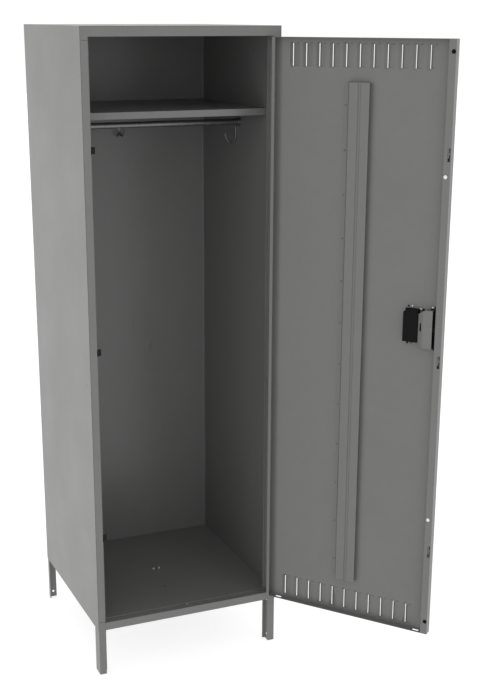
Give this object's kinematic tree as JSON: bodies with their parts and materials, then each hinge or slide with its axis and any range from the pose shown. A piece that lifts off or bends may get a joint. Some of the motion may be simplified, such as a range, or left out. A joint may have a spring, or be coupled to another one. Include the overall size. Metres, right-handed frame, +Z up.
{
  "type": "locker cabinet",
  "caption": "Tall grey steel wardrobe locker on short legs, with a hat shelf, coat rod and hooks inside and one louvered door with a recessed lift handle.",
  "frame": {"origin": "on the floor, under the centre of the bounding box with the door open as stored", "axes": "+Z up, +Y from the door side to the locker's back, +X towards the hinge side"},
  "size_m": [0.9272, 1.0758, 1.9812],
  "materials": {
    "body_paint": "grey baked enamel on sheet steel, satin",
    "frame_paint": "grey baked enamel on sheet steel, satin",
    "door_paint": "grey baked enamel on sheet steel, satin",
    "zinc_steel": "zinc plated",
    "dark_steel": "dark phosphate",
    "black_plastic": "moulded, fine grain",
    "white_nylon": "moulded nylon",
    "black_rubber": "moulded rubber"
  },
  "bodies": {
    "cabinet": {"side_panel_left": "body_paint", "side_panel_right": "body_paint", "back_panel": "body_paint", "top_panel": "body_paint", "floor_pan": "body_paint", "hat_shelf": "body_paint", "frame_post_left": "frame_paint", "frame_post_right": "frame_paint", "frame_header": "frame_paint", "frame_sill": "frame_paint", "front_leg_left": "frame_paint", "front_leg_right": "frame_paint", "rear_leg_left": "frame_paint", "rear_leg_right": "frame_paint", "hinge_frame_leaf_top": "frame_paint", "hinge_frame_leaf_middle": "frame_paint", "hinge_frame_leaf_bottom": "frame_paint", "side_hook_left": "zinc_steel", "side_hook_right": "zinc_steel", "back_hook": "zinc_steel", "sill_screw": "zinc_steel", "pan_bolt_left": "zinc_steel", "pan_bolt_right": "zinc_steel", "hinge_pin_top": "zinc_steel", "hinge_pin_middle": "zinc_steel", "hinge_pin_bottom": "zinc_steel", "coat_rod": "zinc_steel", "rod_flange_left": "zinc_steel", "rod_flange_right": "zinc_steel", "frame_jaw_top": "dark_steel", "frame_jaw_middle": "dark_steel", "frame_jaw_bottom": "dark_steel"},
    "door": {"door_panel": "door_paint", "door_stiffener": "door_paint", "hinge_door_leaf_top": "door_paint", "hinge_door_leaf_middle": "door_paint", "hinge_door_leaf_bottom": "door_paint", "latch_cover": "door_paint", "handle_cup": "black_plastic", "bumper_top": "black_rubber", "bumper_bottom": "black_rubber", "bar_guide_upper": "white_nylon", "bar_guide_lower": "white_nylon"},
    "latch": {"lock_bar": "door_paint", "lift_arm": "dark_steel", "finger_lift": "black_plastic"}
  },
  "joints": [
    {"name": "door_hinge", "type": "hinge", "parent": "cabinet", "child": "door", "pos_m": [0.1241, -0.0753, 1.072], "axis": [0, 0, 1], "range_deg": [-127.5, 45]},
    {"name": "latch_lift", "type": "slide", "parent": "door", "child": "latch", "axis": [0, 0, 1], "range_m": [0, 0.012]}
  ]
}
